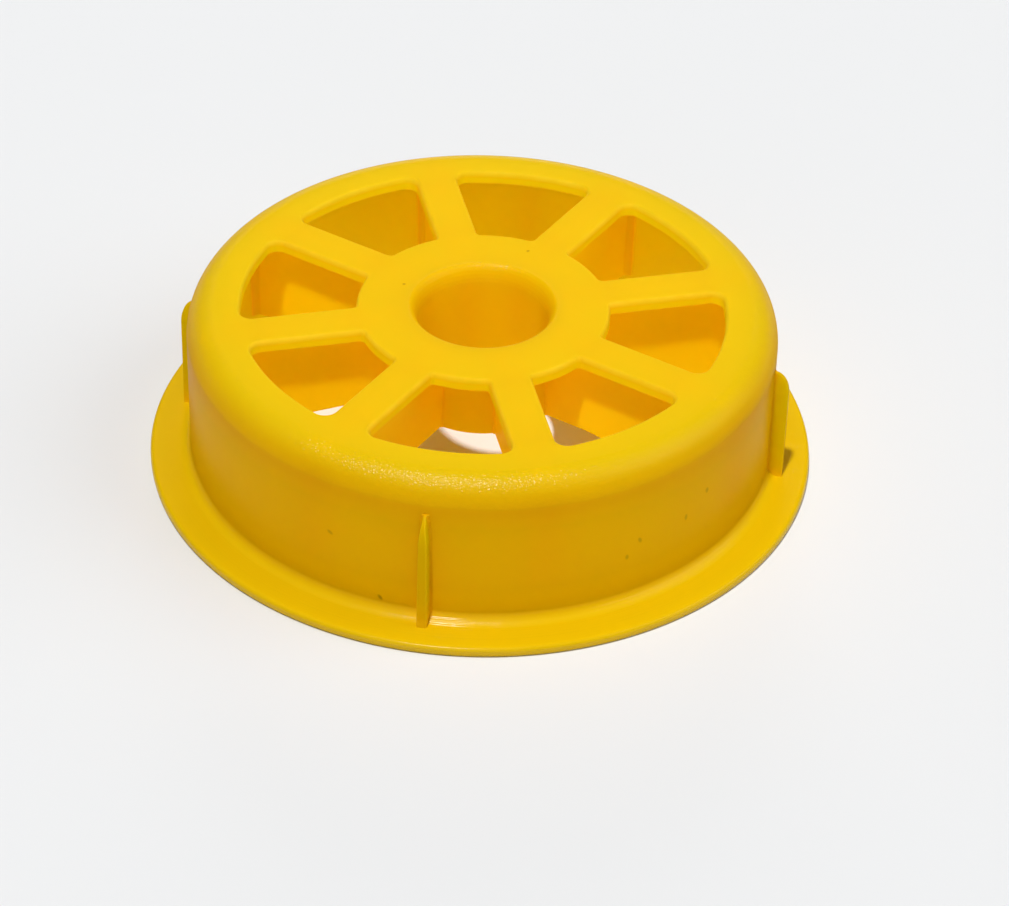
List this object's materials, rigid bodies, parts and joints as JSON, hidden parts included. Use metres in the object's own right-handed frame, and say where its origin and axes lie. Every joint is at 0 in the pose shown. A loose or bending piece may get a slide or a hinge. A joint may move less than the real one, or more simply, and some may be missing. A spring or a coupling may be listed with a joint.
{
  "type": "label roll core adapter",
  "caption": "Round flanged core adapter with a windowed face, a central axle hub and narrow wedge ribs that grip the cardboard core of a label roll.",
  "frame": {"origin": "centre of the flange's underside, on the axle's line, where the part lies on a table", "axes": "+Z along the axle, from the flange to the windowed face; +X and +Y through wedge ribs"},
  "size_m": [0.0854, 0.0854, 0.0222],
  "materials": {
    "yellow_plastic": "satin, finely textured injection moulding"
  },
  "bodies": {
    "root": {"flange": "yellow_plastic", "side_wall": "yellow_plastic", "face_rim": "yellow_plastic", "hub_collar": "yellow_plastic", "hub_sleeve": "yellow_plastic", "spoke_1": "yellow_plastic", "spoke_2": "yellow_plastic", "spoke_3": "yellow_plastic", "spoke_4": "yellow_plastic", "spoke_5": "yellow_plastic", "spoke_6": "yellow_plastic", "spoke_7": "yellow_plastic", "spoke_8": "yellow_plastic", "web_1": "yellow_plastic", "web_2": "yellow_plastic", "web_3": "yellow_plastic", "web_4": "yellow_plastic", "web_5": "yellow_plastic", "web_6": "yellow_plastic", "web_7": "yellow_plastic", "web_8": "yellow_plastic", "wedge_rib_1": "yellow_plastic", "wedge_rib_2": "yellow_plastic", "wedge_rib_3": "yellow_plastic", "wedge_rib_4": "yellow_plastic"}
  },
  "joints": []
}
